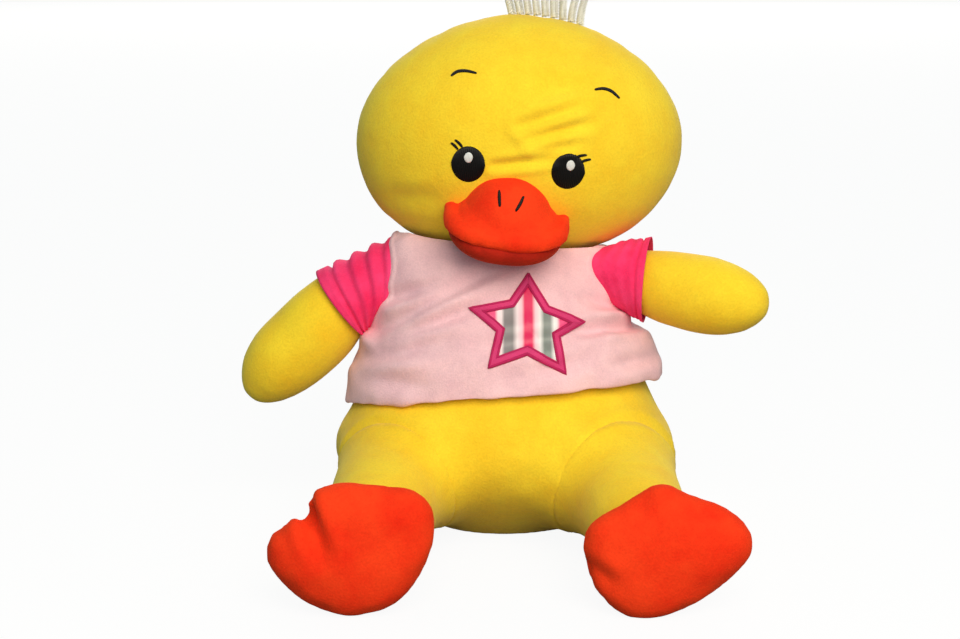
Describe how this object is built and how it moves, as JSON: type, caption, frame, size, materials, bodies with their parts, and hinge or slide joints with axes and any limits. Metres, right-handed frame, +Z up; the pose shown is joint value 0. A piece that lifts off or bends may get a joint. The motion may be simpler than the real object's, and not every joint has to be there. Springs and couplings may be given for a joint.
{
  "type": "plush duck",
  "caption": "Seated stuffed plush duck in a short-sleeved shirt with a star, with a padded bill, webbed feet, a yarn tuft and a turning head, arms, legs and feet.",
  "frame": {"origin": "on the floor, on the flat of the seat, at the foot of the torso's own axis", "axes": "+Z up, the duck faces -Y, its left side is +X"},
  "size_m": [0.4045, 0.3562, 0.4335],
  "materials": {
    "yellow_plush": "yellow short-pile plush",
    "orange_plush": "orange-red short-pile plush",
    "lip_plush": "darker orange-red short-pile plush",
    "shirt_velour": "pale pink velour",
    "sleeve_velour": "hot pink velour",
    "star_satin": "satin in pink, white and silver stripes",
    "star_thread": "hot pink satin stitch",
    "yellow_thread": "yellow sewing thread",
    "black_thread": "black embroidery thread, slightly glossy",
    "white_thread": "white embroidery thread",
    "white_yarn": "white twisted yarn, matt",
    "stuffing": "white fibre filling, hidden inside the skins"
  },
  "bodies": {
    "torso": {"body_front": "yellow_plush", "body_back": "yellow_plush", "body_stuffing": "stuffing", "shirt_front": "shirt_velour", "shirt_back": "shirt_velour", "shirt_neckband": "sleeve_velour", "star_patch": "star_satin", "star_border": "star_thread"},
    "neck": {"neck_thread": "yellow_thread"},
    "head": {"head_front": "yellow_plush", "head_back": "yellow_plush", "head_stuffing": "stuffing", "bill_upper": "orange_plush", "bill_lower": "lip_plush", "bill_padding": "stuffing", "left_eye": "black_thread", "right_eye": "black_thread", "left_eye_highlight": "white_thread", "right_eye_highlight": "white_thread", "left_lash_upper": "black_thread", "left_lash_lower": "black_thread", "right_lash_upper": "black_thread", "right_lash_lower": "black_thread", "left_brow": "black_thread", "right_brow": "black_thread", "left_nostril": "black_thread", "right_nostril": "black_thread", "yarn_tuft": "white_yarn"},
    "left_arm": {"left_arm_skin": "yellow_plush", "left_arm_stuffing": "stuffing", "left_sleeve": "sleeve_velour"},
    "right_arm": {"right_arm_skin": "yellow_plush", "right_arm_stuffing": "stuffing", "right_sleeve": "sleeve_velour"},
    "left_leg": {"left_leg_skin": "yellow_plush", "left_leg_stuffing": "stuffing"},
    "right_leg": {"right_leg_skin": "yellow_plush", "right_leg_stuffing": "stuffing"},
    "left_foot": {"left_foot_upper": "orange_plush", "left_foot_sole": "orange_plush", "left_foot_stuffing": "stuffing"},
    "right_foot": {"right_foot_upper": "orange_plush", "right_foot_sole": "orange_plush", "right_foot_stuffing": "stuffing"}
  },
  "joints": [
    {"name": "neck_turn", "type": "hinge", "parent": "torso", "child": "neck", "pos_m": [0.02, 0.04365, 0.20148], "axis": [-0.0958, 0, 0.9954], "range_deg": [-20, 20], "stiffness_Nm_per_rad": 0.8},
    {"name": "neck_nod", "type": "hinge", "parent": "neck", "child": "head", "pos_m": [0.01065, 0.04365, 0.29853], "axis": [0.9954, 0, 0.0958], "range_deg": [-15, 5], "stiffness_Nm_per_rad": 0.8},
    {"name": "left_shoulder", "type": "hinge", "parent": "torso", "child": "left_arm", "pos_m": [0.079, 0.021, 0.1882], "axis": [-0.515, -0.8572, 0], "range_deg": [-32, 8], "stiffness_Nm_per_rad": 0.3},
    {"name": "right_shoulder", "type": "hinge", "parent": "torso", "child": "right_arm", "pos_m": [-0.089, 0.021, 0.1882], "axis": [-0.0349, 0.9994, 0], "range_deg": [-2, 35], "stiffness_Nm_per_rad": 0.3},
    {"name": "left_hip", "type": "hinge", "parent": "torso", "child": "left_leg", "pos_m": [0.084, -0.06025, 0.05], "axis": [-0.9929, -0.1191, 0], "range_deg": [-10, 30], "stiffness_Nm_per_rad": 0.6},
    {"name": "right_hip", "type": "hinge", "parent": "torso", "child": "right_leg", "pos_m": [-0.084, -0.06025, 0.05], "axis": [-0.9929, 0.1191, 0], "range_deg": [-10, 30], "stiffness_Nm_per_rad": 0.6},
    {"name": "left_ankle", "type": "hinge", "parent": "left_leg", "child": "left_foot", "pos_m": [0.096, -0.16025, 0.045], "axis": [1, 0, 0], "range_deg": [-15, 15], "stiffness_Nm_per_rad": 0.3},
    {"name": "right_ankle", "type": "hinge", "parent": "right_leg", "child": "right_foot", "pos_m": [-0.096, -0.16025, 0.045], "axis": [1, 0, 0], "range_deg": [-15, 15], "stiffness_Nm_per_rad": 0.3}
  ]
}
